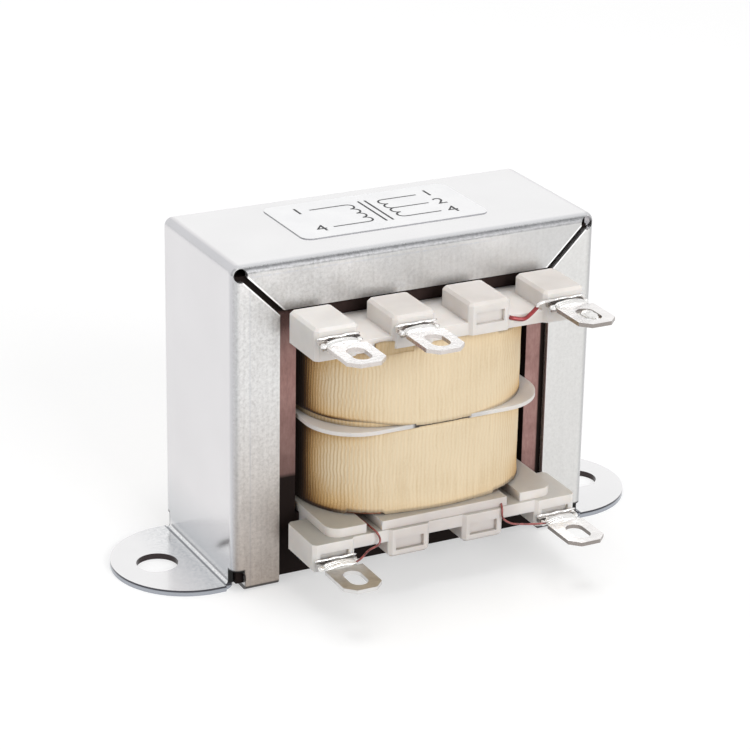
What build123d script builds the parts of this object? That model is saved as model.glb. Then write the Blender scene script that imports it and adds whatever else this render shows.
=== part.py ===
from build123d import *
import math
import os

# A small mains transformer: a stack of core sheets in a folded channel with two mounting ears.
# Sizes are in millimetres. X runs along the ears, the terminals face -Y, and Z is up.
# The origin lies midway between the mounting holes, on the surface that the ears rest on.

# Core: every layer is one E sheet and one I sheet, turned over from layer to layer
sheet_thickness = 0.635
sheet_count = 30
outer_leg = 7.94
centre_leg = 15.88
yoke = 7.94
window_width = 7.94
window_height = 23.81

# Folded channel frame
frame_sheet = 0.76
bend_outer = 1.15
side_gap = 0.05
stack_gap = 0.2
head_gap = 0.8
flange_width = 6.2
opening_corner = 0.6
mitre_width = 0.75
relief_radius = 0.85
relief_inset = 1.2
relief_depth = 1.4
tab_length = 3.6
tab_bend = 0.75
tab_corner = 0.8
notch_width = 1.75
notch_height = 2.7
notch_corner = 0.8

# Mounting ears
mount_pitch = 60.325
mount_hole = 5.2
ear_radius = 9.525
ear_beyond_hole = 5.55
ear_fold = 0.4
ear_root = 18.2

# Bobbin: tube, end walls and divider
bore_clearance = 0.2
tube_wall = 0.9
end_clearance = 0.15
side_clearance = 0.45
end_wall = 1.15
wall_corner = 1.8
wall_inset = 0.2
rear_wall_lead = 0.25
divider_level = 0.4
divider_thickness = 0.5
divider_setback = 0.05
divider_corner = 6.5

# Terminal boards, their blocks and the pads that face the coil
board_lead = 1.15
board_thickness = 1.55
block_lead = 0.4
block_setback = 2.1
block_width = 5.6
upper_block_height = 2.45
lower_block_height = 2.1
block_corner = 0.45
block_edge = 0.35
terminal_pitch = 10.16
terminal_count = 4
mouth_width = 3.8
mouth_height = 1.5
mouth_above_lug = 0.3
mouth_depth = 0.5
pad_setback = 0.45
middle_pad_setback = 0.2
groove_inset = 5.83
tap_groove_place = -2.4
groove_width = 2.0
groove_back = 0.6

# Wound coils and their tape
coil_side_room = 0.55
coil_side_bulge = 0.7
coil_front_tuck = 0.75
coil_front_bulge = 2.7
coil_corner = 9.3
tape_thickness = 0.45
tape_overlap = 1.0
tape_notch = 4.4

# Solder lugs
lug_thickness = 0.5
lug_width = 5.0
lug_head = 6.2
lug_chamfer = 1.2
lug_hole_width = 2.3
lug_hole_length = 3.9
lug_neck_width = 3.4
lug_neck_length = 1.9
lug_bar_width = 5.3
lug_bar_length = 0.55
lug_tail_width = 3.5
lug_tail_length = 5.0
lug_fit = 0.05
lug_above_board = 0.9
solder_width = 4.5
solder_thickness = 1.1
solder_slope = 0.3

# Leads from the coils to the lugs
thick_lead = 0.8
thin_lead = 0.36
lead_lift = 0.05
lead_stand_off = 0.2

# Label on the top web
label_length = 25.4
label_width = 12.7
label_thickness = 0.1
label_corner = 1.3
label_offset = 1.2

# Values that follow from the sizes above
core_width = centre_leg + 2 * (window_width + outer_leg)
core_height = window_height + 2 * yoke
stack = sheet_thickness * sheet_count
frame_width = core_width + 2 * (side_gap + frame_sheet)
frame_depth = stack + 2 * (stack_gap + frame_sheet)
bend_inner = side_gap + stack_gap
frame_height = frame_sheet + core_height + head_gap + frame_sheet
middle = frame_sheet + core_height / 2
opening_half = frame_width / 2 - flange_width
tube_half_width = centre_leg / 2 + bore_clearance + tube_wall
tube_half_depth = stack / 2 + bore_clearance + tube_wall
wall_half_width = centre_leg / 2 + window_width - side_clearance
wall_outer = window_height / 2 - end_clearance
wall_inner = wall_outer - end_wall
coil_half_width = wall_half_width - coil_side_room - coil_side_bulge
coil_half_depth = tube_half_depth + coil_half_width - tube_half_width - coil_front_tuck
coil_front = coil_half_depth + coil_front_bulge
board_half = (terminal_pitch * (terminal_count - 1) + block_width) / 2
board_back = stack / 2 + stack_gap
board_front = coil_front + board_lead
block_back = board_back + block_setback
block_front = board_front + block_lead
board_outer = wall_outer + board_thickness
groove_place = wall_half_width - groove_inset
lug_level = board_outer + lug_above_board
bar_start = block_front + lug_fit
neck_start = bar_start + lug_bar_length
neck_end = neck_start + lug_neck_length
lug_tip = neck_end + lug_head

TOP = 1
BOTTOM = -1
LUGS = {TOP: (1, 2, 4), BOTTOM: (1, 4)}
GROOVES = {TOP: (-groove_place, tap_groove_place, groove_place), BOTTOM: (-groove_place, groove_place)}
FRONT = -1
REAR = 1
TOOL = 80.0


def span(x0, x1, y0, y1, z0, z1):
    """A block between two corners."""
    return Pos((x0 + x1) / 2, (y0 + y1) / 2, (z0 + z1) / 2) * Box(x1 - x0, y1 - y0, z1 - z0)


def patch(x0, x1, y0, y1):
    """A flat rectangle between two corners."""
    return Pos((x0 + x1) / 2, (y0 + y1) / 2) * Rectangle(x1 - x0, y1 - y0)


def upright(outline, z0, z1):
    """A plan outline raised between two levels."""
    return Pos(0, 0, z0) * extrude(outline, z1 - z0)


def terminal_place(number):
    """Where terminal 1 to 4 lies along the board, counted from the left."""
    return terminal_pitch * (number - (terminal_count + 1) / 2)


def placed(part, end):
    """A part drawn above the middle plane, set at the top or the bottom of the coil."""
    if end == BOTTOM:
        part = mirror(part, about=Plane.XY)
    return Pos(0, 0, middle) * part


# Core

def e_outline():
    outline = patch(-core_width / 2, core_width / 2, 0, yoke + window_height)
    for side in (-1, 1):
        x = side * (centre_leg + window_width) / 2
        outline -= patch(x - window_width / 2, x + window_width / 2, yoke, yoke + window_height)
    return outline


def i_outline():
    return patch(-core_width / 2, core_width / 2, yoke + window_height, core_height)


def core_sheets(outline, first, turned):
    """Every second sheet of the stack, from the first one given, as it lies or turned over."""
    sheet = extrude(Plane.XZ * outline, sheet_thickness / 2, both=True)
    if turned:
        sheet = Pos(0, 0, core_height) * mirror(sheet, about=Plane.XY)
    front = -stack / 2 + sheet_thickness / 2
    places = range(first, sheet_count, 2)
    return Compound([Pos(0, front + n * sheet_thickness, frame_sheet) * sheet for n in places])


# Channel frame

def bent_cover(width, depth, height, radius):
    """A box standing on z = 0 with bends round its sides and its top."""
    box = Pos(0, 0, height / 2) * Box(width, depth, height)
    bends = box.edges().filter_by(Axis.Z) + box.faces().sort_by(Axis.Z)[-1].edges()
    return fillet(bends, radius)


def flange_openings():
    """The open middle of the front and rear flanges."""
    outline = patch(-opening_half, opening_half, -TOOL, frame_height - flange_width)
    outline = fillet(outline.vertices().group_by(Axis.Y)[-1], opening_corner)
    return extrude(Plane.XZ * outline, TOOL, both=True)


def corner_cut(side, face):
    """The mitre slot and the relief hole where three bends meet."""
    length = math.hypot(flange_width, flange_width)
    slot = Pos(0, 0, -length / 2) * Box(mitre_width, relief_depth, length)
    hole = Rot(90, 0, 0) * Cylinder(relief_radius, relief_depth)
    x = side * (frame_width / 2 - relief_inset)
    y = face * (frame_depth - relief_depth) / 2
    return Pos(x, y, frame_height - relief_inset) * (hole + Rot(0, side * 45, 0) * slot)


def foot_notches():
    """Rounded reliefs at the foot of the corners, between the flange ends and the ears."""
    outline = patch(frame_width / 2 - notch_width, TOOL, -TOOL, notch_height)
    corner = outline.vertices().group_by(Axis.Y)[-1].sort_by(Axis.X)[0]
    cutter = extrude(Plane.XZ * fillet(corner, notch_corner), TOOL, both=True)
    cutter -= span(0, TOOL, -ear_root / 2, ear_root / 2, -TOOL, TOOL)
    return cutter + mirror(cutter, about=Plane.YZ)


def flange_tab(side, face):
    """The end of one flange, folded under the core."""
    inner_face = frame_depth / 2 - frame_sheet
    outline = patch(opening_half, frame_width / 2 - notch_width, frame_depth / 2 - tab_length, inner_face)
    outline = fillet(outline.vertices().group_by(Axis.Y)[0], tab_corner)
    tab = upright(outline, 0, frame_sheet)
    if side < 0:
        tab = mirror(tab, about=Plane.YZ)
    if face == FRONT:
        tab = mirror(tab, about=Plane.XZ)
    return tab


def tab_bend_waste():
    """What lies outside the bends at the lower ends of the flanges."""
    y = frame_depth / 2 - tab_bend
    corner = span(-frame_width, frame_width, y, y + TOOL, -TOOL, tab_bend)
    waste = corner - Pos(0, y, tab_bend) * Rot(0, 90, 0) * Cylinder(tab_bend, 3 * frame_width)
    return waste + mirror(waste, about=Plane.XZ)


def foot_and_ear():
    """The foot of the right-hand web, folded out into its ear."""
    inner = frame_width / 2 - frame_sheet
    outer = frame_width / 2
    fold = outer + ear_fold
    bend = ear_fold + frame_sheet
    section = make_face([
        Line((inner, bend + frame_sheet), (inner, bend)),
        CenterArc((fold, bend), bend, 180, 90),
        Line((fold, 0), (fold, frame_sheet)),
        CenterArc((fold, bend), ear_fold, 270, -90),
        Line((outer, bend), (outer, bend + frame_sheet)),
        Line((outer, bend + frame_sheet), (inner, bend + frame_sheet)),
    ])
    foot = extrude(Plane.XZ * section, ear_root / 2, both=True)
    round_end = mount_pitch / 2 + ear_beyond_hole - ear_radius
    outline = Pos(round_end, 0) * Circle(ear_radius)
    outline += patch(round_end - TOOL, round_end, -ear_radius, ear_radius)
    outline &= patch(fold, fold + TOOL, -TOOL, TOOL)
    outline -= Pos(mount_pitch / 2, 0) * Circle(mount_hole / 2)
    return foot + upright(outline, 0, frame_sheet)


def channel_frame():
    """One strip of sheet: top web, two side webs, flanges round the core, ears and folded tabs."""
    inner_width = frame_width - 2 * frame_sheet
    inner_depth = frame_depth - 2 * frame_sheet
    frame = bent_cover(frame_width, frame_depth, frame_height, bend_outer)
    frame -= bent_cover(inner_width, inner_depth, frame_height - frame_sheet, bend_inner)
    frame -= flange_openings()
    for side in (-1, 1):
        for face in (FRONT, REAR):
            frame += flange_tab(side, face)
            frame -= corner_cut(side, face)
    frame -= tab_bend_waste()
    frame -= foot_notches()
    foot_top = ear_fold + 2 * frame_sheet
    web = span(inner_width / 2, TOOL, -ear_root / 2, ear_root / 2, -TOOL, foot_top)
    frame -= web + mirror(web, about=Plane.YZ)
    ear = foot_and_ear()
    return frame + ear + mirror(ear, about=Plane.YZ)


# Bobbin

def coil_outline(inset):
    """The plan of the wound coil, bowed on all four sides, moved inwards by the inset."""
    x = coil_half_width - inset
    y = coil_half_depth - inset
    side = x + coil_side_bulge
    front = y + coil_front_bulge
    outline = make_face([
        ThreePointArc((-x, -y), (0, -front), (x, -y)),
        ThreePointArc((x, -y), (side, 0), (x, y)),
        ThreePointArc((x, y), (0, front), (-x, y)),
        ThreePointArc((-x, y), (-side, 0), (-x, -y)),
    ])
    return fillet(outline.vertices(), coil_corner - inset)


def rounded_patch(x0, x1, y0, y1, radius):
    outline = patch(x0, x1, y0, y1)
    return fillet(outline.vertices(), radius)


def blunt_patch(x0, x1, y0, y1, cut):
    outline = patch(x0, x1, y0, y1)
    return chamfer(outline.vertices(), cut)


def end_wall_plan(end):
    """The wall that closes a coil: under the tape at the top, standing forward as pads below."""
    rear = coil_front + rear_wall_lead
    if end == TOP:
        plan = coil_outline(tape_thickness + wall_inset) & patch(-TOOL, TOOL, -TOOL, 0)
        plan += rounded_patch(-wall_half_width, wall_half_width, -board_back, rear, wall_corner)
    else:
        front = board_front - pad_setback
        plan = rounded_patch(-wall_half_width, wall_half_width, -front, rear, wall_corner)
        plan += patch(-groove_place, groove_place, middle_pad_setback - board_front, 0)
    for x in GROOVES[end]:
        back = tube_half_depth + groove_back
        plan -= patch(x - groove_width / 2, x + groove_width / 2, -TOOL, -back)
    return plan


def terminal_block(number, height):
    """A raised block for one lug."""
    x = terminal_place(number)
    plan = blunt_patch(x - block_width / 2, x + block_width / 2, -block_front, -block_back, block_corner)
    block = upright(plan, wall_outer, board_outer + height)
    return chamfer(block.faces().sort_by(Axis.Z)[-1].edges(), block_edge)


def block_mouth(number):
    """The shallow recess in the front of a block."""
    x = terminal_place(number)
    top = lug_level + mouth_above_lug
    return span(x - mouth_width / 2, x + mouth_width / 2, -TOOL, mouth_depth - block_front, top - mouth_height, top)


def lug_slot(number):
    """The tight slot that holds the tail of a lug."""
    x = terminal_place(number)
    half = lug_tail_width / 2 + lug_fit
    rise = lug_thickness / 2 + lug_fit
    return span(x - half, x + half, -TOOL, lug_tail_length + lug_fit - block_front, lug_level - rise, lug_level + rise)


def bobbin_end(end):
    """An end wall with its terminal board and blocks, above the middle plane."""
    height = upper_block_height if end == TOP else lower_block_height
    board = blunt_patch(-board_half, board_half, -board_front, -block_back, block_corner)
    board += patch(-wall_half_width, wall_half_width, -block_back, -board_back)
    part = upright(end_wall_plan(end), wall_inner, wall_outer)
    part += upright(board, wall_outer, board_outer)
    for number in range(1, terminal_count + 1):
        part += terminal_block(number, height)
        part -= block_mouth(number)
    for number in LUGS[end]:
        part -= lug_slot(number)
    return part


def bobbin():
    """One moulding: tube round the centre leg, two ends with terminal boards, and a divider."""
    body = Box(2 * tube_half_width, 2 * tube_half_depth, 2 * wall_outer)
    body += bobbin_end(TOP) + mirror(bobbin_end(BOTTOM), about=Plane.XY)
    reach = coil_front - divider_setback
    divider = rounded_patch(-wall_half_width, wall_half_width, -reach, reach, divider_corner)
    body += upright(divider, divider_level, divider_level + divider_thickness)
    body -= Box(centre_leg + 2 * bore_clearance, stack + 2 * bore_clearance, TOOL)
    return Pos(0, 0, middle) * body


# Coils

def coil_start(end):
    """The face of the divider that one coil rests against, counted from the middle towards that coil."""
    return divider_level + divider_thickness if end == TOP else -divider_level


def winding(end):
    """The copper of one coil, from the divider to the end wall."""
    plan = coil_outline(tape_thickness) - Rectangle(2 * tube_half_width, 2 * tube_half_depth)
    return placed(upright(plan, coil_start(end), wall_inner), end)


def tape_wrap(end):
    """The tape round one coil. At the top it laps the edge of the end wall, with gaps for the leads."""
    ring = coil_outline(0) - coil_outline(tape_thickness)
    wrap = upright(ring, coil_start(end), wall_inner)
    if end == TOP:
        lap = ring & patch(-TOOL, TOOL, -TOOL, -tube_half_depth)
        for x in (-groove_place, groove_place):
            lap -= patch(x - tape_notch / 2, x + tape_notch / 2, -TOOL, 0)
        lap -= patch(tap_groove_place - groove_width / 2, tap_groove_place + groove_width / 2, -TOOL, 0)
        wrap += upright(lap, wall_inner, wall_inner + tape_overlap)
    return placed(wrap, end)


# Terminals

def lug_plan(number):
    """A flat lug: tail in the block, bar, wrapping neck, and head with an oblong hole."""
    x = terminal_place(number)
    head = patch(x - lug_width / 2, x + lug_width / 2, -lug_tip, -neck_end)
    head = chamfer(head.vertices().group_by(Axis.Y)[0], lug_chamfer)
    hole = Pos(x, -neck_end - lug_head / 2) * Rot(0, 0, 90) * SlotOverall(lug_hole_length, lug_hole_width)
    neck = patch(x - lug_neck_width / 2, x + lug_neck_width / 2, -neck_end, -neck_start)
    bar = patch(x - lug_bar_width / 2, x + lug_bar_width / 2, -neck_start, -bar_start)
    tail = patch(x - lug_tail_width / 2, x + lug_tail_width / 2, -bar_start, lug_tail_length - block_front)
    return head - hole + neck + bar + tail


def lug(number, end):
    low = lug_level - lug_thickness / 2
    return placed(upright(lug_plan(number), low, low + lug_thickness), end)


def solder_bead(number):
    """A bead that wraps a lug's neck."""
    x = terminal_place(number)
    low = lug_level - solder_thickness / 2
    bead = span(x - solder_width / 2, x + solder_width / 2, lug_fit - neck_end, -neck_start - lug_fit,
                low, low + solder_thickness)
    return chamfer(bead.edges(), solder_slope)


def solder_joint(number, end):
    return placed(solder_bead(number), end) - lug(number, end)


def lead(number, end, groove, diameter):
    """A lead that leaves the coil through a groove, turns up the front and ends in the solder of its lug."""
    level = wall_inner + diameter / 2 + lead_lift
    toward = 1 if terminal_place(number) < groove else -1
    start = Vector(groove, -tube_half_depth - groove_back - diameter, level)
    turn = Vector(groove, -bar_start - lead_stand_off - diameter / 2, level)
    finish = Vector(terminal_place(number) + toward * solder_width / 4, -(neck_start + neck_end) / 2, lug_level)
    profile = Plane(origin=start, z_dir=turn - start) * Circle(diameter / 2)
    tube = sweep(profile, path=Polyline(start, turn, finish), transition=Transition.RIGHT)
    return placed(tube - solder_bead(number), end)


# Label

def label():
    plan = Pos(0, label_offset) * RectangleRounded(label_length, label_width, label_corner)
    return upright(plan, frame_height, frame_height + label_thickness)


def write(name, part):
    export_step(part, f"parts/{name}.step")


os.makedirs("parts", exist_ok=True)
write("channel_frame", channel_frame())
write("e_sheets_upright", core_sheets(e_outline(), 0, False))
write("i_sheets_top", core_sheets(i_outline(), 0, False))
write("e_sheets_turned", core_sheets(e_outline(), 1, True))
write("i_sheets_bottom", core_sheets(i_outline(), 1, True))
write("bobbin", bobbin())
write("secondary_winding", winding(TOP))
write("primary_winding", winding(BOTTOM))
write("secondary_tape", tape_wrap(TOP))
write("primary_tape", tape_wrap(BOTTOM))
for end, word in ((TOP, "top"), (BOTTOM, "bottom")):
    for number in LUGS[end]:
        write(f"terminal_{word}_{number}", lug(number, end))
        write(f"solder_{word}_{number}", solder_joint(number, end))
write("lead_top_1", lead(1, TOP, -groove_place, thick_lead))
write("lead_top_2", lead(2, TOP, tap_groove_place, thick_lead))
write("lead_top_4", lead(4, TOP, groove_place, thick_lead))
write("lead_bottom_1", lead(1, BOTTOM, -groove_place, thin_lead))
write("lead_bottom_4", lead(4, BOTTOM, groove_place, thin_lead))
write("label", label())
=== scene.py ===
import bpy
import math
from mathutils import Matrix, Vector, noise


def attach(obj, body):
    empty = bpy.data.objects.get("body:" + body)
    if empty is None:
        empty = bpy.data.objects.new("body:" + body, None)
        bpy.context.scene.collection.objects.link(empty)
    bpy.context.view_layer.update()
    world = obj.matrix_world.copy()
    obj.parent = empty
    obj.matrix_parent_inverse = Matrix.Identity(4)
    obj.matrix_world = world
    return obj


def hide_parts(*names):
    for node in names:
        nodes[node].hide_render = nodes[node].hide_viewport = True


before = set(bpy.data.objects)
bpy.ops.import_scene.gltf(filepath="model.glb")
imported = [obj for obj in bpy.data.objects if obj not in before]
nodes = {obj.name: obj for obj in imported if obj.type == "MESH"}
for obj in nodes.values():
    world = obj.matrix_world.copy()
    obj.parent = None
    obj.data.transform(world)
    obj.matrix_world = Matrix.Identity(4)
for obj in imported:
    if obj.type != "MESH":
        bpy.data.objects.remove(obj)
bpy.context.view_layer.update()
MM = 0.001

# Places and sizes that the pieces share with the CAD part, in millimetres. Heights count from the
# surface that the ears rest on.
TOP = 42.01                 # upper face of the frame
MIDDLE = 20.605             # middle of the core
DIVIDER = MIDDLE + 0.65     # middle of the bobbin's divider
WALL_INNER = 10.605         # end walls' inner faces, from the middle
LUG_LEVEL = 14.205          # lugs, from the middle
PITCH = 10.16               # from lug to lug
NECK_START = 19.865         # front end of a lug's bar
GROOVE = 9.6                # outer wire grooves and gaps in the tape
GAP_HALF = 2.2              # half width of those gaps
COIL_X = 14.18              # coil's half width and half depth at its corners
COIL_Y = 15.015
SIDE_BOW = 0.7              # bulge of the coil's sides
FRONT_BOW = 2.7             # bulge of the coil's front and rear
COIL_CORNER = 9.3
MITRE_LINE = 17.39          # height less half width, along the mitres of the upper corners
WEB_INSIDE = 23.8           # side webs' inner faces
FLANGE = (9.9, 10.35)       # depth over which the webs' look gives way to the flanges'
DIE_LINE = 1.5              # the flanges' die line, from their edge
LEFT_TO_RIGHT = (-14.0, 16.0)  # width over which painted light brightens the front towards the right
HOLE_X = 30.1625            # mounting holes
FOLD_X = 25.05              # line where the ears fold out of the webs
LABEL_TOP = 42.11           # label's upper face
LABEL_OFFSET = 1.2          # label's middle, behind the frame's

# Sizes of surface detail, in millimetres
RIB_PITCH = 0.46            # modelled ribs of the tape
RIB_SHADE_PITCH = 0.5       # painted ribs of the tape
TAPE_RIB = 0.014            # height of a modelled rib

# Shares
NOISE_RANGE = (0.3, 0.7)    # usual values of a noise node
NOISE_CORE = (0.35, 0.65)   # those that most of its area has
UPWARD = (0.3, 0.8)         # how far a normal points up on the way to a level face


def camera():
    """The camera that was fitted to the frame's edges in the photograph."""
    data = bpy.data.cameras.new("camera")
    data.sensor_width = 36.0
    data.lens = 130.99
    data.clip_start = 0.01
    data.clip_end = 10.0
    ob = bpy.data.objects.new("camera", data)
    bpy.context.scene.collection.objects.link(ob)
    turn = Matrix(((0.890882, 0.156552, -0.426405),
                   (-0.453933, 0.341075, -0.823172),
                   (0.016567, 0.926909, 0.374921)))
    ob.matrix_world = Matrix.Translation((-0.146508, -0.282287, 0.149312)) @ turn.to_4x4()
    bpy.context.scene.camera = ob


# Materials

class Value:
    """A number that a node gives. Arithmetic on it adds math nodes."""

    def __init__(self, owner, socket):
        self.owner = owner
        self.socket = socket

    def __add__(self, other):
        return self.owner.math("ADD", self, other)

    def __sub__(self, other):
        return self.owner.math("SUBTRACT", self, other)

    def __rsub__(self, other):
        return self.owner.math("SUBTRACT", other, self)

    def __mul__(self, other):
        return self.owner.math("MULTIPLY", self, other)

    def __abs__(self):
        return self.owner.math("ABSOLUTE", self)


class Nodes:
    """Builds one material's node tree, in object coordinates counted in millimetres."""

    def __init__(self, name):
        self.material = bpy.data.materials.new(name)
        self.material.use_nodes = True
        self.tree = self.material.node_tree
        self.shader = self.tree.nodes["Principled BSDF"]
        place = self.add("ShaderNodeTexCoord")
        scale = self.add("ShaderNodeVectorMath", operation="SCALE")
        scale.inputs["Scale"].default_value = 1.0 / MM
        self.link(place.outputs["Object"], scale.inputs[0])
        self.mm = scale.outputs[0]
        self.normal = place.outputs["Normal"]

    def add(self, kind, **settings):
        node = self.tree.nodes.new(kind)
        for key, value in settings.items():
            setattr(node, key, value)
        return node

    def link(self, a, b):
        self.tree.links.new(a.socket if isinstance(a, Value) else a, b)

    def set(self, **values):
        for key, value in values.items():
            self.shader.inputs[key.replace("_", " ")].default_value = value

    def stretch(self, x, y, z, source=None):
        """The place, or another vector, with each coordinate scaled."""
        node = self.add("ShaderNodeVectorMath", operation="MULTIPLY")
        node.inputs[1].default_value = (x, y, z)
        self.link(source or self.mm, node.inputs[0])
        return node.outputs[0]

    def noise(self, scale, detail=3.0, rough=0.55, source=None):
        node = self.add("ShaderNodeTexNoise")
        node.inputs["Scale"].default_value = scale
        node.inputs["Detail"].default_value = detail
        node.inputs["Roughness"].default_value = rough
        self.link(source or self.mm, node.inputs["Vector"])
        return Value(self, node.outputs["Fac"])

    def open_air(self, reach):
        """1 in the open, towards 0 in a recess. Reach is in millimetres."""
        node = self.add("ShaderNodeAmbientOcclusion", samples=8)
        node.inputs["Distance"].default_value = reach * MM
        return Value(self, node.outputs["AO"])

    def axis(self, letter, source=None):
        """One coordinate of the place, or of another vector."""
        node = self.add("ShaderNodeSeparateXYZ")
        self.link(source or self.mm, node.inputs[0])
        return Value(self, node.outputs[letter])

    def math(self, kind, a, b=None):
        node = self.add("ShaderNodeMath", operation=kind)
        for n, value in enumerate((a, b)):
            if value is None:
                continue
            if isinstance(value, (int, float)):
                node.inputs[n].default_value = value
            else:
                self.link(value, node.inputs[n])
        return Value(self, node.outputs[0])

    def largest(self, first, *others):
        for other in others:
            first = self.math("MAXIMUM", first, other)
        return first

    def span(self, source, a, b, c=0.0, d=1.0):
        """Maps a value from a..b to c..d and holds it there."""
        node = self.add("ShaderNodeMapRange")
        for key, value in zip(("From Min", "From Max", "To Min", "To Max"), (a, b, c, d)):
            node.inputs[key].default_value = value
        self.link(source, node.inputs["Value"])
        return Value(self, node.outputs["Result"])

    def spread(self, source, low, high):
        """Maps the usual range of a noise to low..high."""
        return self.span(source, *NOISE_RANGE, low, high)

    def near(self, source, place, far, close, most=1.0):
        """The most within close of a place, towards 0 at far from it."""
        return self.span(abs(source - place), far, close, 0.0, most)

    def bends(self, flat, round_):
        """0 on faces that lie along an axis, 1 on surfaces that turn from one to another."""
        sides = [abs(self.axis(letter, self.normal)) for letter in "XYZ"]
        return self.span(self.largest(*sides), flat, round_)

    def ramp(self, source, *stops):
        node = self.add("ShaderNodeValToRGB")
        ramp = node.color_ramp
        while len(ramp.elements) < len(stops):
            ramp.elements.new(0.5)
        for element, (place, color) in zip(ramp.elements, stops):
            element.position = place
            element.color = (*color, 1.0)
        self.link(source, node.inputs["Fac"])
        return node.outputs["Color"]

    def shades(self, source, dark, light, stops=NOISE_CORE):
        """Colours a noise from dark to light."""
        return self.ramp(source, (stops[0], dark), (stops[1], light))

    def mix(self, factor, a, b, kind="MIX"):
        node = self.add("ShaderNodeMix", data_type="RGBA", blend_type=kind)
        for value, socket in ((factor, node.inputs[0]), (a, node.inputs[6]), (b, node.inputs[7])):
            if isinstance(value, tuple):
                socket.default_value = (*value, 1.0)
            else:
                self.link(value, socket)
        return node.outputs[2]

    def tint(self, factor, color, by):
        """Multiplies a colour by another where the factor is 1."""
        return self.mix(factor, color, by, "MULTIPLY")

    def bump(self, height, distance, strength):
        """Distance is in millimetres."""
        node = self.add("ShaderNodeBump")
        node.inputs["Strength"].default_value = strength
        node.inputs["Distance"].default_value = distance * MM
        self.link(height, node.inputs["Height"])
        return node.outputs["Normal"]

    def finish(self, color, roughness, normal):
        for key, value in (("Base Color", color), ("Roughness", roughness), ("Normal", normal)):
            self.link(value, self.shader.inputs[key])
        return self.material


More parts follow.
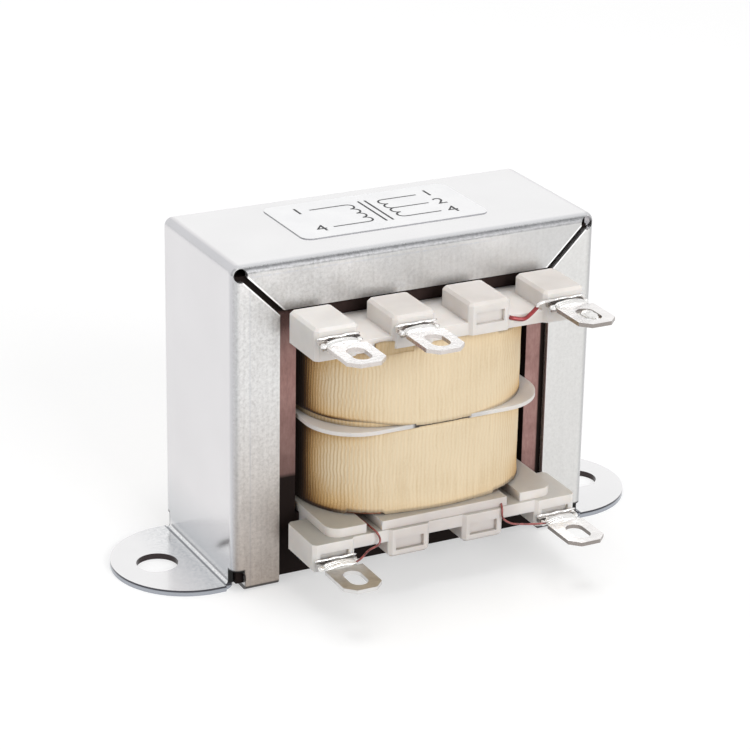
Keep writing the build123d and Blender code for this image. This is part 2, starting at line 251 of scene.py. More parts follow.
def zinc_material():
    """Zinc-plated sheet: smooth webs, greyer bends, mottled flanges with upright die marks, and
    grey sheared rims round the ears. The grey of the bends is painted shade. Painted shade also
    darkens the side webs towards the fold, the flange along the top, the lower left of the front,
    the holes, the feet and the fold line. Painted light brightens the front towards the right, the
    ear tops and the edges of the mitre slots."""
    n = Nodes("zinc_plated_steel")
    n.set(Metallic=0.85)
    x, y, z = (n.axis(letter) for letter in "XYZ")
    normal_x, normal_y, normal_z = (n.axis(letter, n.normal) for letter in "XYZ")
    wide, deep = abs(x), abs(y)
    flange = n.span(deep, *FLANGE)
    grain = n.noise(2.4, 5.0, 0.75)
    marks = n.noise(1.0, 2.0, 0.5, n.stretch(2.0, 2.0, 0.05))
    cloud = n.noise(0.12, 2.0, 0.5)
    mottle = grain * 0.75 + marks * 0.25

    # Top and side webs; painted shade darkens the side webs towards the fold
    plain = n.shades(cloud, (0.85, 0.845, 0.85), (0.88, 0.875, 0.88), NOISE_RANGE)
    side_web = n.span(wide, 23.3, 23.7) * n.span(z, 1.3, 2.2)
    painted_fold_shade = n.mix(n.span(z, 1.5, 9.0), (0.71, 0.73, 0.75), (0.88, 0.87, 0.88))
    plain = n.tint(side_web, plain, painted_fold_shade)

    # Flanges: painted light evens them and brightens them towards the right; painted shade darkens
    # the one along the top and, a little, the one on the right
    rolled = n.ramp(mottle, (0.36, (0.55, 0.54, 0.535)), (0.5, (0.67, 0.665, 0.66)),
                    (0.64, (0.77, 0.765, 0.76)))
    rolled = n.mix(n.span(x, *LEFT_TO_RIGHT, 0.0, 0.6), rolled, (0.71, 0.705, 0.70))
    upper = n.span(z - wide, MITRE_LINE - 0.3, MITRE_LINE + 0.3) * flange
    rolled = n.tint(upper, rolled, (0.81, 0.81, 0.81))
    rolled = n.tint(n.span(x, 17.0, 18.0) * (1.0 - upper), rolled, (0.95, 0.95, 0.94))
    color = n.mix(flange, plain, rolled)

    # Die line along the flanges' edges
    from_edge = n.math("MINIMUM", TOP - z, WEB_INSIDE - wide)
    line = n.near(from_edge, DIE_LINE, 0.14, 0.04) * flange
    line = line * (n.span(marks, 0.4, 0.6, 0.1, 0.6) * n.span(x, 8.0, 12.0, 1.0, 0.0))
    color = n.mix(line, color, (0.45, 0.47, 0.52))

    # Bends: painted shade greys them all and darkens the one at the front of the top further,
    # where the key lamp's highlight would glare
    bent = n.bends(0.995, 0.9)
    low = n.span(z, 3.0, 2.2)
    color = n.tint(bent * 0.7 * (1.0 - low), color, (0.70, 0.715, 0.735))
    lip = n.near(normal_z, 0.42, 0.38, 0.25) * n.span(z, 39.5, 40.5) * n.span(normal_y, -0.4, -0.6)
    color = n.tint(lip, color, n.shades(grain, (0.38, 0.38, 0.39), (0.56, 0.56, 0.57)))

    # Ears: grey sheared rims with a painted dark line along their upper edge, painted shade in the
    # holes, painted light on the tops near the fold, mostly on the left ear, and a painted shadow
    # along the fold
    ear = low * n.span(wide, 24.0, 24.2)
    level = n.span(abs(normal_z), 0.35, 0.6)
    inside_fold = n.span(wide, 25.5, 25.3) * n.span(abs(normal_x), 0.2, 0.4)
    cut = ear * (1.0 - level) * (1.0 - inside_fold)
    hole_x = wide - HOLE_X
    from_hole = n.math("SQRT", hole_x * hole_x + y * y)
    rim = n.mix(n.span(z, 0.45, 0.55), (0.40, 0.42, 0.46), (0.07, 0.07, 0.08))
    color = n.mix(cut, color, n.mix(n.span(from_hole, 3.0, 3.4), (0.05, 0.04, 0.04), rim))
    lit_ear_top = ear * level * (n.span(wide, 30.5, 25.5, 0.0, 0.8) * n.span(x, 0.0, -1.0, 0.2, 1.0))
    color = n.mix(lit_ear_top, color, n.shades(grain, (0.58, 0.60, 0.62), (0.90, 0.90, 0.91)))
    fold = n.near(wide, FOLD_X, 0.22, 0.08, 0.85) * (ear * level)
    color = n.mix(fold, color, (0.16, 0.17, 0.19))

    # Feet: a brownish painted shade on the left flanges, deepening towards the bottom, and painted
    # shade on the undersides and in the openings
    foot = flange * n.span(z, 0.0, 26.0, 1.0, 0.0) * n.span(x, -15.0, -18.0)
    color = n.tint(foot, color, (0.60, 0.52, 0.46))
    underside = n.span(z, 0.68, 0.5, 0.0, 0.95) * n.span(wide, 24.0, 23.9)
    color = n.mix(underside, color, (0.05, 0.045, 0.045))
    opening = n.span(deep, 8.9, 9.1) * n.span(wide, 22.9, 23.1)
    opening = opening * (n.span(z, 0.8, 0.9) * n.span(z, 3.0, 2.8))
    color = n.mix(opening, color, (0.02, 0.02, 0.02))

    # Bright edges of the mitre slots: sheared steel, lightened further by a painted highlight
    mitre = abs(wide - z + MITRE_LINE)
    color = n.mix(flange * n.span(mitre, 0.85, 0.7), color, (0.95, 0.95, 0.95))

    rough = n.spread(grain, 0.14, 0.2) + flange * 0.2
    height = mottle * n.span(flange, 0.0, 1.0, 0.12, 1.0)
    return n.finish(color, rough, n.bump(height, 0.05, 0.6))


def core_material():
    """Brown oxide sheet, dull in the open. Painted shade makes it near black in the slots, over
    and under the bobbin, beside the flanges and the coil, and in the lower left of the window. It
    also darkens the left leg downwards and turns down the sheet's reflections there."""
    n = Nodes("core_sheet_steel")
    x, y, z = (n.axis(letter) for letter in "XYZ")
    cloud = n.noise(0.35, 4.0, 0.6)
    grain = n.noise(4.0, 3.0, 0.6, n.stretch(1.0, 6.0, 0.3))
    color = n.ramp(cloud * 0.6 + grain * 0.4, (0.35, (0.26, 0.14, 0.125)),
                   (0.5, (0.33, 0.185, 0.168)), (0.65, (0.40, 0.24, 0.218)))
    # Painted shade: the masks below, together with the recesses that the open_air node finds, go
    # to near black with little reflection
    front = n.span(y, 0.0, -1.0)
    left_leg = n.span(z, 14.0, 27.0, 0.6, 0.0) * n.span(x, -14.0, -15.0) * front
    color = n.mix(left_leg, color, (0.05, 0.028, 0.025))
    corner = n.span(z, 13.7, 14.3, 1.0, 0.0) * n.span(x, -15.3, -15.7)
    over_bobbin = n.span(abs(x), 15.5, 15.3, 0.0, 0.88) * n.span(z, 31.0, 31.2)
    ends = n.largest(n.span(z, 35.0, 35.6), over_bobbin, n.span(z, 6.0, 6.6, 1.0, 0.0))
    beside_coil = n.span(x, 15.95, 15.85) * n.span(x, 15.0, 15.2)
    sides = n.largest(n.span(x, 17.8, 18.0), n.span(x, -18.6, -18.8), beside_coil)
    dark = n.largest(n.largest(corner, sides) * front, ends)
    shade = n.span(n.open_air(4.0), 0.2, 0.6) * (1.0 - dark)
    color = n.mix(shade, (0.016, 0.011, 0.010), color)
    n.link(n.span(shade, 0.0, 1.0, 0.0, 0.4), n.shader.inputs["Metallic"])
    n.link(n.span(shade, 0.0, 1.0, 0.05, 0.5), n.shader.inputs["Specular IOR Level"])
    return n.finish(color, n.spread(cloud, 0.42, 0.55), n.bump(grain, 0.02, 0.4))


def nylon_material():
    """Natural nylon with painted shade: brownish grey in its deeper recesses, near black in the
    seam that the coils close in front of the divider, and darker on the lower end and on the tops
    of the upper blocks. Its sides that face left carry painted light."""
    n = Nodes("natural_nylon")
    n.set(Subsurface_Weight=0.5, Subsurface_Scale=0.0016, Subsurface_Radius=(1.0, 0.85, 0.7),
          IOR=1.5)
    x, y, z = (n.axis(letter) for letter in "XYZ")
    upward = n.span(n.axis("Z", n.normal), *UPWARD)
    cloud = n.noise(0.25, 2.0, 0.5)
    fine = n.noise(3.0, 3.0, 0.6)
    color = n.shades(cloud, (0.77, 0.73, 0.695), (0.83, 0.79, 0.755))
    # Painted shade in the deeper recesses, kept off the blocks' front faces, and a painted shadow
    # in the seam in front of the divider
    unshaded = n.largest(n.span(n.open_air(3.0), 0.0, 0.6), n.span(y, -18.6, -18.9, 0.0, 0.85))
    color = n.mix(unshaded, (0.42, 0.38, 0.34), color)
    seam = n.near(z, DIVIDER, 0.5, 0.3) * n.near(x, -0.2, 4.1, 3.6) * n.span(y, -15.0, -16.0)
    color = n.mix(seam, color, (0.03, 0.02, 0.015))
    # Painted light on faces that turn to the left; painted shade on the lower end's upward faces,
    # deepest at the left, on its middle, and on the tops of the upper blocks right of the first
    facing_left = n.span(n.axis("X", n.normal), -0.5, -0.8) * n.span(x, -4.0, -10.0)
    color = n.tint(facing_left, color, (1.13, 1.13, 1.13))
    lower_end = n.span(z, 12.0, 11.0)
    shelf_color = n.mix(n.span(x, *LEFT_TO_RIGHT), (0.58, 0.585, 0.55), (0.76, 0.765, 0.745))
    color = n.tint(upward * lower_end, color, shelf_color)
    color = n.tint(lower_end * n.near(x, 1.0, 9.5, 7.5), color, (0.87, 0.85, 0.85))
    block_tops = upward * n.span(z, 34.5, 35.5) * n.span(x, -12.0, -7.0)
    color = n.tint(block_tops, color, (0.90, 0.885, 0.875))
    return n.finish(color, n.spread(fine, 0.34, 0.46), n.bump(fine + cloud, 0.03, 0.3))


def tape_material(name, light, dark, depth=1.0):
    """Ribbed cloth tape. The UV map runs along the wrap in U and up the coil in V, both in
    millimetres. Depth is the strength of the shade at the coil's sides."""
    n = Nodes(name)
    n.set(Sheen_Weight=0.1, Sheen_Roughness=0.6, Specular_IOR_Level=0.25)
    uv = n.add("ShaderNodeUVMap", uv_map="wrap").outputs["UV"]
    wide = abs(n.axis("X"))
    threads = n.noise(1.0, 2.0, 0.6, n.stretch(2.6, 0.12, 1.0, uv))
    weave = n.noise(1.0, 2.0, 0.6, n.stretch(3.0, 3.0, 1.0, uv))
    cloud = n.noise(1.0, 3.0, 0.5, n.stretch(0.12, 0.2, 1.0, uv))
    drift = n.noise(1.0, 2.0, 0.5, n.stretch(0.25, 0.5, 1.0, uv))
    streak = threads * 0.5 + (weave * 0.2 + cloud * 0.3)
    lightest = tuple(min(1.0, c * 1.05) for c in light)
    color = n.ramp(streak, (0.3, dark), (0.5, light), (0.7, lightest))
    # Painted shade: the troughs between the ribs darker, most at the coil's sides where light
    # grazes, and the sides golden to near black in the recesses that the open_air node finds
    rib = n.math("SINE", (n.axis("X", uv) + drift * 0.9) * (2 * math.pi / RIB_SHADE_PITCH))
    between_ribs = n.span(rib, 0.1, -0.9) * n.span(wide, 7.0, 13.5, 0.12, 0.5)
    color = n.tint(between_ribs, color, (0.80, 0.62, 0.36))
    shade = n.ramp(n.open_air(6.0), (0.46, (0.05, 0.022, 0.006)), (0.58, (0.46, 0.26, 0.08)),
                   (0.75, (0.92, 0.76, 0.50)), (0.92, (1.0, 1.0, 1.0)))
    color = n.tint(n.span(wide, 9.0, 13.0, 0.3 * depth, depth), color, shade)
    return n.finish(color, n.spread(weave, 0.62, 0.8), n.bump(threads + weave, 0.03, 0.5))


def tin_material(name, color_low, color_high, rough_low, rough_high, edge=None):
    """Brushed tin. Edge is the colour of the faces that stand upright, the cut edges; a near-black
    edge is painted shade.
    """
    n = Nodes(name)
    n.set(Metallic=1.0)
    cloud = n.noise(0.8, 3.0, 0.55)
    brushed = n.noise(2.0, 3.0, 0.6, n.stretch(0.3, 4.0, 1.0))
    color = n.shades(cloud * 0.6 + brushed * 0.4, color_low, color_high)
    if edge:
        upright = n.span(abs(n.axis("Z", n.normal)), *UPWARD, 0.85, 0.0)
        color = n.mix(upright, color, edge)
    rough = n.spread(brushed, rough_low, rough_high)
    return n.finish(color, rough, n.bump(cloud + brushed, 0.02, 0.4))


def enamel_material(name, dark, light):
    """Gloss enamel over copper wire."""
    n = Nodes(name)
    n.set(Coat_Weight=0.6, Coat_Roughness=0.15, Metallic=0.35)
    cloud = n.noise(1.5, 3.0, 0.6)
    color = n.shades(cloud, dark, light)
    return n.finish(color, n.spread(cloud, 0.25, 0.4), n.bump(cloud, 0.02, 0.4))


def copper_material():
    """The windings under the tape, with their turns as a bump."""
    n = Nodes("enamelled_copper")
    n.set(Metallic=0.9)
    turns = n.math("SINE", n.axis("Z") * 14.0)
    color = n.shades(n.noise(1.0), (0.30, 0.09, 0.04), (0.50, 0.17, 0.08))
    return n.finish(color, n.spread(n.noise(2.0), 0.3, 0.45), n.bump(turns, 0.1, 0.8))


def label_material():
    """White film whose side faces are painted dark grey: painted shade along its edge."""
    n = Nodes("label_film")
    n.set(Coat_Weight=0.2, Coat_Roughness=0.3)
    fine = n.noise(6.0, 3.0, 0.6)
    cloud = n.noise(0.3, 3.0, 0.5)
    color = n.shades(cloud, (0.86, 0.86, 0.87), (0.90, 0.90, 0.905), NOISE_RANGE)
    upward = n.span(n.axis("Z", n.normal), 0.3, 0.97)
    color = n.mix(upward, (0.30, 0.30, 0.32), color)
    return n.finish(color, n.spread(fine, 0.42, 0.55), n.bump(fine, 0.01, 0.3))


def ink_material():
    n = Nodes("black_ink")
    fine = n.noise(8.0, 3.0, 0.6)
    color = n.shades(fine, (0.010, 0.010, 0.012), (0.03, 0.03, 0.032), NOISE_RANGE)
    return n.finish(color, n.spread(fine, 0.45, 0.6), n.bump(fine, 0.01, 0.3))


# Near-black strips of painted shadow in the gaps beside the lugs' wraps
def shadow_strip_material():
    n = Nodes("painted_slot_shadow")
    fine = n.noise(5.0, 3.0, 0.6)
    color = n.shades(fine, (0.010, 0.006, 0.006), (0.05, 0.035, 0.03), NOISE_RANGE)
    return n.finish(color, n.spread(fine, 0.35, 0.6), n.bump(fine, 0.02, 0.4))


# Mesh helpers

def piece(name, verts, faces, material, replaces=(), smooth=True, uv=None):
    """Makes a mesh piece from points in millimetres and lets it ride on the part's one body."""
    mesh = bpy.data.meshes.new(name)
    mesh.from_pydata([tuple(c * MM for c in v) for v in verts], [], faces)
    mesh.validate()
    if smooth:
        mesh.shade_smooth()
    if uv:
        layer = mesh.uv_layers.new(name="wrap")
        for loop in mesh.loops:
            layer.data[loop.index].uv = uv[loop.vertex_index]
    mesh.materials.append(material)
    ob = bpy.data.objects.new(name, mesh)
    bpy.context.scene.collection.objects.link(ob)
    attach(ob, "root")
    for node in replaces:
        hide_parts(node)
    return ob


def direction(points, i):
    """The direction of a line of points at one of them."""
    return (points[min(i + 1, len(points) - 1)] - points[max(i - 1, 0)]).normalized()


def ring_faces(bands, sides):
    """The faces between rings of points that follow each other."""
    faces = []
    for i in range(bands):
        for k in range(sides):
            a, b = i * sides + k, i * sides + (k + 1) % sides
            faces.append((a, b, b + sides, a + sides))
    return faces


def tube(points, radius, sides=12, rings=None):
    """A round tube with closed ends along a list of points. rings may scale the radius point by
    point."""
    verts = []
    pts = [Vector(p) for p in points]
    across = Vector((0.3, 0.2, 1.0))
    for i, p in enumerate(pts):
        along = direction(pts, i)
        across = (across - along * across.dot(along)).normalized()
        other = along.cross(across)
        r = radius * (rings[i] if rings else 1.0)
        for k in range(sides):
            a = 2 * math.pi * k / sides
            verts.append(p + (across * math.cos(a) + other * math.sin(a)) * r)
    faces = ring_faces(len(pts) - 1, sides)
    faces.append(tuple(reversed(range(sides))))
    faces.append(tuple(range((len(pts) - 1) * sides, len(pts) * sides)))
    return verts, faces


def uneven(count, ends, size, rate, seed):
    """Scales for a tube's radius: narrow at both ends and uneven between them."""
    return [ends] + [1.0 + size * math.sin(i * rate + seed) for i in range(1, count - 1)] + [ends]


def joined(parts):
    """Several lists of points and faces as one."""
    verts, faces = [], []
    for v, f in parts:
        start = len(verts)
        verts += v
        faces += [tuple(i + start for i in face) for face in f]
    return verts, faces


def spline(points, steps=10):
    """A smooth line through the points."""
    pts = [Vector(p) for p in points]
    pts = [2 * pts[0] - pts[1]] + pts + [2 * pts[-1] - pts[-2]]
    out = []
    for i in range(1, len(pts) - 2):
        a, b, c, d = pts[i - 1:i + 3]
        for k in range(steps):
            t = k / steps
            out.append(0.5 * ((2 * b) + (c - a) * t + (2 * a - 5 * b + 4 * c - d) * t * t
                              + (3 * b - a - 3 * c + d) * t ** 3))
    out.append(pts[-2])
    return out


def held(value):
    """Holds a number between 0 and 1."""
    return max(0.0, min(1.0, value))


# Coil tape

def circle_meet(c1, r1, c2, r2, want):
    """The point where two circles meet that lies furthest towards want."""
    d = (c2 - c1).length
    a = (r1 * r1 - r2 * r2 + d * d) / (2 * d)
    h = math.sqrt(max(r1 * r1 - a * a, 0))
    base = c1 + (c2 - c1) * (a / d)
    side = Vector((-(c2 - c1).y, (c2 - c1).x)) / d * h
    return max((base + side, base - side), key=lambda p: p.dot(want))


def coil_quarter(x, y, side_bow, front_bow, corner):
    """The plan of the coil from the middle of the right side to the middle of the rear: centre,
    radius and two angles for each arc."""
    r_front = (x * x + front_bow ** 2) / (2 * front_bow)
    r_side = (y * y + side_bow ** 2) / (2 * side_bow)
    c_front = Vector((0, y + front_bow - r_front))
    c_side = Vector((x + side_bow - r_side, 0))
    c_corner = circle_meet(c_front, r_front - corner, c_side, r_side - corner, Vector((1, 1)))
    a_side = math.atan2(*reversed(c_corner - c_side))
    a_front = math.atan2(*reversed(c_corner - c_front))
    return ((c_side, r_side, 0.0, a_side), (c_corner, corner, a_side, a_front),
            (c_front, r_front, a_front, math.pi / 2))


def coil_line(spacing):
    """Points round the whole coil as (x, y, normal x, normal y, distance)."""
    quarter = []
    arcs = coil_quarter(COIL_X, COIL_Y, SIDE_BOW, FRONT_BOW, COIL_CORNER)
    for centre, radius, a0, a1 in arcs:
        count = max(2, round(radius * (a1 - a0) / spacing))
        for k in range(count):
            a = a0 + (a1 - a0) * k / count
            n = Vector((math.cos(a), math.sin(a)))
            quarter.append((centre + n * radius, n))
    quarter.append((Vector((0, COIL_Y + FRONT_BOW)), Vector((0, 1))))
    first = quarter[:-1]
    second = [(Vector((-p.x, p.y)), Vector((-n.x, n.y))) for p, n in reversed(quarter[1:])]
    half = first + second
    whole = half + [(-p, -n) for p, n in half]
    line, run = [], 0.0
    for i, (p, n) in enumerate(whole):
        if i:
            run += (p - whole[i - 1][0]).length
        line.append((p.x, p.y, n.x, n.y, run))
    return line


def tape_layer(name, low, high, out, thickness, material, replaces=()):
    """One wrapped layer of tape. low, high and out are functions of the place on the coil."""
    line = coil_line(0.075)
    rows = 22
    verts, faces, uv = [], [], []
    for x, y, nx, ny, s in line:
        z0, z1 = low(x, y, s), high(x, y, s)
        for k in range(rows):
            t = k / (rows - 1)
            z = z0 + (z1 - z0) * t
            drift = 0.25 * noise.noise(Vector((s * 0.05, z * 0.25, 3.0)))
            rib = TAPE_RIB * math.sin(2 * math.pi * (s + drift) / RIB_PITCH)
            swell = 0.07 * noise.noise(Vector((s * 0.16, z * 0.2, 9.0)))
            d = out(x, y, s, t) + rib + swell
            verts.append((x + nx * d, y + ny * d, z))
            uv.append((s, z))
        for t, z in ((1.0, z1), (0.0, z0)):
            d = out(x, y, s, t) - thickness
            verts.append((x + nx * d, y + ny * d, z))
            uv.append((s, z))
    ring = rows + 2
    for i in range(len(line)):
        j = (i + 1) % len(line)
        for k in range(ring):
            m = (k + 1) % ring
            faces.append((i * ring + k, j * ring + k, j * ring + m, i * ring + m))
    return piece(name, verts, faces, material, replaces, uv=uv)


def wavy(s, seed, size):
    """A slow and a quick wave along the wrap."""
    slow = noise.noise(Vector((s * 0.9, seed, 0.0)))
    quick = noise.noise(Vector((s * 3.1, seed, 5.0)))
    return size * slow + 0.5 * size * quick


def tapes():
    """The tape of both coils. In the functions below, s is the distance along the wrap and t runs
    from 0 at a layer's lower edge to 1 at its upper one."""
    cream = tape_material("cream_cloth_tape", (0.835, 0.69, 0.48), (0.75, 0.59, 0.38))
    under = tape_material("under_tape", (0.90, 0.73, 0.47), (0.82, 0.63, 0.38), 0.5)
    over_divider = MIDDLE + 0.93
    under_divider = MIDDLE + 0.36

    def front(y):
        """1 on the front, 0 on the sides and the rear."""
        return held((-y - 12.0) / 3.0)

    def notch(x, y):
        """1 in the two gaps that let the leads out."""
        if y > -10:
            return 0.0
        return held((GAP_HALF - abs(abs(x) - GROOVE)) / 0.3)

    def middle_front(x, y):
        """1 where the coil bulges over the divider's edge, at the middle of the front."""
        near = held((10.7 - abs(x + 0.2)) / 6.0)
        return near * near * (3.0 - 2.0 * near) * front(y)

    def upper_high(x, y, s):
        """On the front the edge laps over the end wall, but for the gaps."""
        lap = front(y) * (1.0 - notch(x, y))
        return MIDDLE + WALL_INNER + 0.02 + lap * 0.93 + wavy(s, 1.0, 0.05) * lap - 0.04

    def upper_low(x, y, s):
        left = held((-3.0 - x) / 6.0) * held(-y / 10.0)
        return MIDDLE + 0.98 + 0.6 * left - 0.31 * middle_front(x, y) + wavy(s, 2.0, 0.04)

    def upper_out(x, y, s, t):
        lip = max(0.0, 1.0 - t * 8.0)
        return -0.09 + 0.05 * lip + 0.2 * middle_front(x, y) * max(0.0, 1.0 - t * 2.5)

    def inner_low(x, y, s):
        return over_divider

    def inner_high(x, y, s):
        return MIDDLE + WALL_INNER - 0.02

    def inner_out(x, y, s, t):
        return -0.27 + 0.16 * max(0.0, 1.0 - t * 5.0)

    def lower_low(x, y, s):
        rise = 0.3 * front(y) * notch(x, y)
        return MIDDLE - WALL_INNER + 0.03 + abs(wavy(s, 4.0, 0.1)) + rise

    def lower_high(x, y, s):
        return under_divider + 0.11 * middle_front(x, y) + wavy(s, 6.0, 0.02)

    def lower_out(x, y, s, t):
        lip = max(0.0, 1.0 - t * 6.0)
        return -0.09 + 0.14 * lip + 0.2 * middle_front(x, y) * max(0.0, t * 2.5 - 1.5)

    tape_layer("secondary_tape_outer", upper_low, upper_high, upper_out, 0.2, cream,
               ["secondary_tape"])
    tape_layer("secondary_tape_inner", inner_low, inner_high, inner_out, 0.18, under)
    tape_layer("primary_tape_outer", lower_low, lower_high, lower_out, 0.35, cream,
               ["primary_tape"])


def tape_flap():
    """The end of the tape that stands up between the first two lugs."""
    verts, faces, uv = [], [], []
    across, up, thickness = 28, 6, 0.16
    for i in range(across + 1):
        for k in range(up + 1):
            a, b = i / across, k / up
            x = -10.2 + 5.2 * a
            y = -19.0 - 0.15 * b - 0.05 * math.sin(5 * a + 2 * b)
            height = 1.75 + 0.08 * math.sin(9 * a)
            z = 31.6 + b * height - 0.5 * abs(2 * b - 1) * max(0.0, a - 0.85)
            verts.append((x, y, z))
            uv.append((x, z))
    count = len(verts)
    verts += [(x, y + thickness, z) for x, y, z in verts]
    uv += uv
    column = up + 1
    for i in range(across):
        for k in range(up):
            a, b = i * column + k, (i + 1) * column + k
            q = (a, b, b + 1, a + 1)
            faces.append(q)
            faces.append(tuple(c + count for c in reversed(q)))
    rim = [i * column for i in range(across + 1)]
    rim += [across * column + k for k in range(1, column)]
    rim += [i * column + up for i in range(across - 1, -1, -1)]
    rim += range(up - 1, 0, -1)
    for a, b in zip(rim, rim[1:] + rim[:1]):
        faces.append((a, b, b + count, a + count))
    # A darker copy of the tape: painted shade for where the flap stands between the lugs
    flap = tape_material("tape_flap_cloth", (0.60, 0.46, 0.28), (0.46, 0.33, 0.18))
    piece("tape_flap", verts, faces, flap, uv=uv)


# Terminals: wire wraps, solder and leads

def blob(centre, size, seed, rough=0.16):
    """A lumpy drop of solder."""
    verts = []
    rings, sides = 14, 20
    for i in range(rings + 1):
        a = math.pi * i / rings
        for k in range(sides):
            b = 2 * math.pi * k / sides
            n = Vector((math.sin(a) * math.cos(b), math.sin(a) * math.sin(b), math.cos(a)))
            large = noise.noise(n * 1.7 + Vector((seed, 0, 0)))
            small = noise.noise(n * 4.0 + Vector((0, seed, 0)))
            lump = 1.0 + rough * large + 0.4 * rough * small
            reach = Vector((n.x * size[0], n.y * size[1], n.z * size[2])) * lump
            verts.append(Vector(centre) + reach)
    return verts, ring_faces(rings, sides)


def neck_wrap(x, z, seed):
    """Bare wire wound round a lug's neck and closed with solder, with a bar along the block and
    two lumpy ends."""
    wire, sides = 0.17, 10
    turns, steps = 3.5, 100
    path = []
    for i in range(steps + 1):
        t = i / steps
        a = 2 * math.pi * turns * t
        off = 1.95 * math.cos(a) * (1 + 0.05 * math.sin(3 * a + seed))
        y = -NECK_START - 0.35 - 1.15 * t + 0.06 * math.sin(5 * t + seed)
        path.append((x + off, y, z + 0.38 * math.sin(a)))
    count, half = 15, 2.75
    bar = [(x - half + 2 * half * i / (count - 1), -NECK_START + 0.36,
            z + 0.5 + 0.04 * math.sin(i * 1.1 + seed)) for i in range(count)]
    return joined([
        tube(path, wire, sides),
        tube(bar, wire, sides, uneven(count, 0.5, 0.12, 1.9, seed)),
        blob((x, -NECK_START - 0.95, z), (1.95, 0.6, 0.36), seed),
        blob((x - 2.3, -NECK_START - 0.55, z - 0.1), (0.42, 0.45, 0.32), seed + 3, 0.3),
        blob((x + 2.3, -NECK_START - 0.45, z + 0.05), (0.36, 0.36, 0.28), seed + 5, 0.3),
    ])


def terminals():
    """Wire wraps and solder on the five lugs, with near-black strips of painted shadow along the
    gaps beside four of them.
    """
    solder = tin_material("bright_solder", (0.74, 0.73, 0.71), (0.92, 0.91, 0.90), 0.14, 0.28)
    shadow_strip = shadow_strip_material()
    # Painted shadow strips: where each starts and ends across its lug, in millimetres
    slot_shadow = {
        ("top", 1): ((-1.5, -0.5), (1.0, 2.7)),
        ("top", 2): ((-1.7, 1.6),),
        ("top", 4): ((-2.3, 2.2),),
        ("bottom", 1): ((-2.2, -0.6),),
    }
    steps = 10
    for row, sign, numbers in (("top", 1, (1, 2, 4)), ("bottom", -1, (1, 4))):
        for n in numbers:
            x = PITCH * (n - 2.5)
            z = MIDDLE + sign * LUG_LEVEL
            parts = [neck_wrap(x, z, n * 1.7 + sign)]
            if (row, n) == ("top", 4):
                parts.append(blob((x + 0.45, -NECK_START - 4.6, z), (0.95, 1.45, 0.3), 8.0, 0.3))
            verts, faces = joined(parts)
            piece(f"solder_joint_{row}_{n}", verts, faces, solder, [f"solder_{row}_{n}"])
            for k, (start, end) in enumerate(slot_shadow.get((row, n), ())):
                line = [(x + start + (end - start) * i / steps, -NECK_START + 0.08, z + 0.27)
                        for i in range(steps + 1)]
                verts, faces = tube(line, 0.13, 8, uneven(steps + 1, 0.3, 0.2, 2.3, n))
                piece(f"flux_{row}_{n}_{k}", verts, faces, shadow_strip)


def leads():
    """Enamelled wire ends. Each leaves its coil through a groove in the end wall and runs up or
    down to its lug."""
    red = enamel_material("red_enamel", (0.16, 0.006, 0.008), (0.36, 0.020, 0.024))
    brown = enamel_material("brown_enamel", (0.14, 0.02, 0.018), (0.34, 0.07, 0.06))
    upper = MIDDLE + WALL_INNER + 0.45
    routes = (
        ("top_1", red, "red_enamel", 0.22,
         [(-9.6, -12.4, upper), (-9.8, -17.6, upper), (-10.3, -19.0, 31.9),
          (-10.9, -19.15, 32.5), (-11.8, -19.25, 33.2), (-13.2, -19.6, 34.1),
          (-14.0, -20.2, 34.35)]),
        ("top_2", red, "red_enamel", 0.22,
         [(-2.4, -12.4, upper), (-3.15, -17.6, upper), (-4.0, -19.0, 31.9),
          (-4.25, -19.15, 32.5), (-4.3, -19.25, 33.2), (-4.2, -19.6, 34.1),
          (-4.0, -20.2, 34.4)]),
        ("top_4", red, "red_enamel", 0.26,
         [(8.9, -12.4, upper), (8.3, -16.5, 32.3), (8.0, -18.4, 33.55),
          (8.25, -19.0, 33.62), (9.58, -19.3, 33.4), (10.43, -19.6, 34.05),
          (11.2, -19.8, 34.9)]),
        ("bottom_1", brown, "brown_enamel", 0.13,
         [(-9.95, -12.4, 9.6), (-9.95, -14.0, 9.3), (-9.85, -17.6, 9.25),
          (-9.6, -19.1, 9.0), (-9.25, -19.4, 8.1), (-9.6, -19.6, 7.5),
          (-11.0, -19.95, 7.25), (-12.4, -20.6, 6.7), (-13.4, -20.9, 6.5)]),
        ("bottom_4", brown, "brown_enamel", 0.13,
         [(8.9, -12.4, 9.6), (8.7, -14.0, 9.3), (8.0, -18.0, 9.2),
          (7.6, -19.3, 8.9), (7.6, -19.6, 7.7), (8.6, -19.9, 6.9),
          (10.0, -20.1, 6.6), (11.4, -20.5, 6.5), (13.0, -20.9, 6.45)]),
    )
    for name, material, slot, radius, points in routes:
        verts, faces = tube(spline(points), radius)
        piece(f"lead_wire_{name}", verts, faces, material, [f"lead_{name}"])
    bare = tin_material("bare_tinned_wire", (0.72, 0.70, 0.68), (0.90, 0.89, 0.88), 0.18, 0.3)
    bare_end = [(11.1, -19.78, 34.75), (11.2, -19.9, 35.2), (11.9, -20.0, 35.45),
                (12.8, -19.7, 35.3), (13.6, -19.5, 35.25)]
    verts, faces = tube(spline(bare_end), 0.2)
    piece("lead_bare_end_top_4", verts, faces, bare)


# Label print

def stroke(points, width, z):
    """A flat line of ink with mitred joints."""
    verts, faces = [], []
    pts = [Vector(p) for p in points]
    for i, p in enumerate(pts):
        along = direction(pts, i)
        n = Vector((-along.y, along.x)) * width / 2
        verts += [(p.x + n.x, p.y + n.y, z), (p.x - n.x, p.y - n.y, z)]
    for i in range(len(pts) - 1):
        faces.append((2 * i, 2 * i + 1, 2 * i + 3, 2 * i + 2))
    return verts, faces


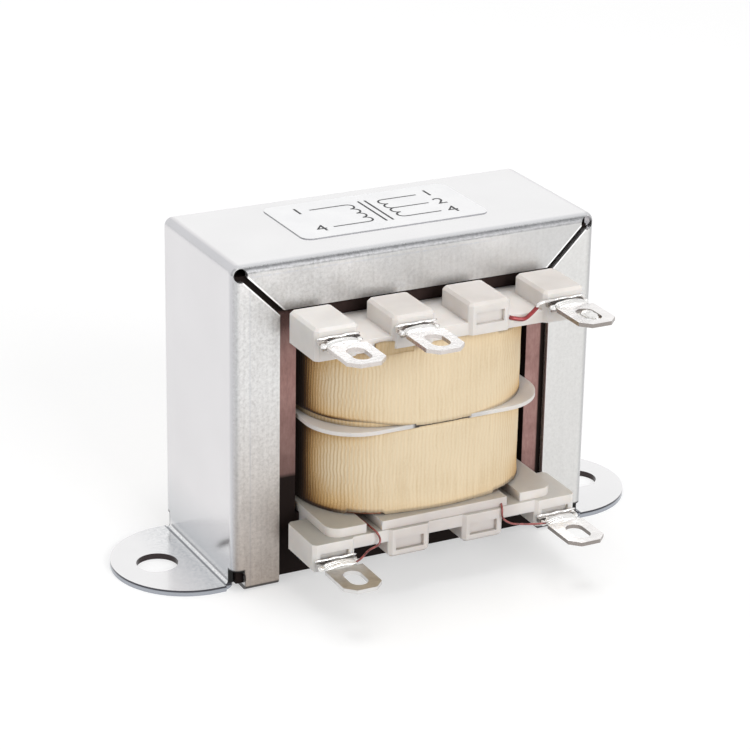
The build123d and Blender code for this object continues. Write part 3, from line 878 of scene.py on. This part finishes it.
def label_print():
    """A plain winding diagram with terminal numbers."""
    z = LABEL_TOP + 0.012
    y0 = LABEL_OFFSET
    line, core_line = 0.26, 0.28
    loops, radius, steps = 4, 0.85, 12
    coil_x, end_x = 2.6, 7.4
    parts = []
    for x in (-0.45, 0.45):
        parts.append(stroke([(x, y0 - 4.0), (x, y0 + 4.0)], core_line, z))
    for side in (-1, 1):
        arc = []
        for k in range(loops):
            for m in range(steps + 1):
                a = math.pi / 2 - math.pi * m / steps
                y = y0 + radius * (loops - 1 - 2 * k) + radius * math.sin(a)
                arc.append((side * (coil_x - radius * math.cos(a)), y))
        parts.append(stroke(arc, line, z))
        for end in (-1, 1):
            y = y0 + end * loops * radius
            parts.append(stroke([(side * coil_x, y), (side * end_x, y)], line, z))
    parts.append(stroke([(coil_x, y0), (end_x, y0)], line, z))
    ink = ink_material()
    verts, faces = joined(parts)
    piece("label_diagram", verts, faces, ink, smooth=False)
    numbers = (("1", -9.0, 3.4), ("4", -9.0, -3.4),
               ("1", 9.0, 3.4), ("2", 9.0, 0.0), ("4", 9.0, -3.4))
    for text, x, y in numbers:
        curve = bpy.data.curves.new(f"number_{text}", "FONT")
        curve.body = text
        curve.size = 3.0 * MM
        curve.align_x = "CENTER"
        curve.align_y = "CENTER"
        curve.extrude = 0.004 * MM
        curve.materials.append(ink)
        side = "left" if x < 0 else "right"
        ob = bpy.data.objects.new(f"label_number_{side}_{text}", curve)
        bpy.context.scene.collection.objects.link(ob)
        ob.location = (x * MM, (y + y0) * MM, z * MM)
        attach(ob, "root")


# CAD nodes that stay

def dress(name, material, bevel=0.0, segments=2):
    """Gives a CAD node its material and, where asked, a bevel in millimetres."""
    ob = nodes[name]
    ob.data.materials.clear()
    ob.data.materials.append(material)
    if bevel:
        mod = ob.modifiers.new("edge", "BEVEL")
        mod.width = bevel * MM
        mod.segments = segments
        mod.limit_method = "ANGLE"
        mod.angle_limit = math.radians(35)
        mod.harden_normals = True


def dress_cad():
    sheet_edge, lug_edge, nylon_edge, label_edge = 0.08, 0.06, 0.2, 0.03
    zinc = zinc_material()
    core = core_material()
    nylon = nylon_material()
    tin = tin_material("tin_plate", (0.82, 0.80, 0.79), (0.94, 0.92, 0.91), 0.2, 0.34,
                       (0.58, 0.53, 0.50))
    # The fourth lugs' cut edges are near black: painted shade
    dark_cut = tin_material("tin_plate_dark_cut", (0.84, 0.82, 0.81), (0.95, 0.93, 0.92), 0.2,
                            0.34, (0.22, 0.19, 0.17))
    dull = tin_material("dull_tin_plate", (0.40, 0.395, 0.385), (0.56, 0.555, 0.545), 0.3, 0.42,
                        (0.70, 0.69, 0.68))
    copper = copper_material()
    dress("channel_frame", zinc, sheet_edge)
    for name in ("e_sheets_upright", "e_sheets_turned", "i_sheets_top", "i_sheets_bottom"):
        dress(name, core)
    dress("bobbin", nylon, nylon_edge, 3)
    for name in ("terminal_top_1", "terminal_top_2"):
        dress(name, tin, lug_edge)
    for name in ("terminal_top_4", "terminal_bottom_4"):
        dress(name, dark_cut, lug_edge)
    dress("terminal_bottom_1", dull, lug_edge)
    for name in ("secondary_winding", "primary_winding"):
        dress(name, copper)
    dress("label", label_material(), label_edge)


# Studio

def seen_or_mirrored(tree):
    """1 for rays from the camera and for reflections, 0 for the rays that light other surfaces."""
    path = tree.nodes.new("ShaderNodeLightPath")
    either = tree.nodes.new("ShaderNodeMath")
    either.operation = "MAXIMUM"
    tree.links.new(path.outputs["Is Camera Ray"], either.inputs[0])
    tree.links.new(path.outputs["Is Glossy Ray"], either.inputs[1])
    return either.outputs[0]


def world_light(scene):
    """White to the camera and in reflections, but a weaker light on the surfaces."""
    world = bpy.data.worlds.new("studio")
    scene.world = world
    world.use_nodes = True
    tree = world.node_tree
    back = tree.nodes["Background"]
    back.inputs["Color"].default_value = (1.0, 1.0, 1.0, 1.0)
    seen = seen_or_mirrored(tree)
    level = tree.nodes.new("ShaderNodeMapRange")
    level.inputs["To Min"].default_value = 0.28
    level.inputs["To Max"].default_value = 1.0
    tree.links.new(seen, level.inputs["Value"])
    tree.links.new(level.outputs["Result"], back.inputs["Strength"])


def lamps(scene):
    """Four square lamps aimed at the middle of the part. Only the key shows in reflections."""
    target = Vector((0, 0, 0.02))
    for name, place, size, power in (
            ("key", (0.16, -0.78, 0.32), 0.5, 4.2),
            ("top", (0.05, 0.06, 0.95), 0.6, 4.4),
            ("left", (-0.75, -0.3, 0.35), 0.5, 0.7),
            ("rear", (-0.4, 0.7, 0.35), 0.5, 1.6)):
        data = bpy.data.lights.new(name, "AREA")
        data.size = size
        data.energy = power
        ob = bpy.data.objects.new(name, data)
        scene.collection.objects.link(ob)
        ob.location = place
        aim = target - Vector(place)
        ob.rotation_euler = aim.to_track_quat("-Z", "Y").to_euler()
        ob.visible_glossy = name == "key"


def white_floor(scene):
    """A floor that is white to the camera and in reflections, with a light shadow."""
    mesh = bpy.data.meshes.new("floor")
    half = 4.0
    corners = [(-half, -half, 0), (half, -half, 0), (half, half, 0), (-half, half, 0)]
    mesh.from_pydata(corners, [], [(0, 1, 2, 3)])
    floor = bpy.data.objects.new("floor", mesh)
    scene.collection.objects.link(floor)
    material = bpy.data.materials.new("pale_floor")
    material.use_nodes = True
    tree = material.node_tree
    shader = tree.nodes["Principled BSDF"]
    shader.inputs["Base Color"].default_value = (0.55, 0.55, 0.55, 1.0)
    shader.inputs["Roughness"].default_value = 0.9
    shader.inputs["Specular IOR Level"].default_value = 0.0
    shader.inputs["Emission Color"].default_value = (1.0, 1.0, 1.0, 1.0)
    glow = tree.nodes.new("ShaderNodeMath")
    glow.operation = "MULTIPLY"
    glow.inputs[1].default_value = 0.5
    tree.links.new(seen_or_mirrored(tree), glow.inputs[0])
    tree.links.new(glow.outputs[0], shader.inputs["Emission Strength"])
    mesh.materials.append(material)


def studio():
    scene = bpy.context.scene
    scene.view_settings.view_transform = "Standard"
    world_light(scene)
    lamps(scene)
    white_floor(scene)


camera()
dress_cad()
tapes()
tape_flap()
terminals()
leads()
label_print()
studio()
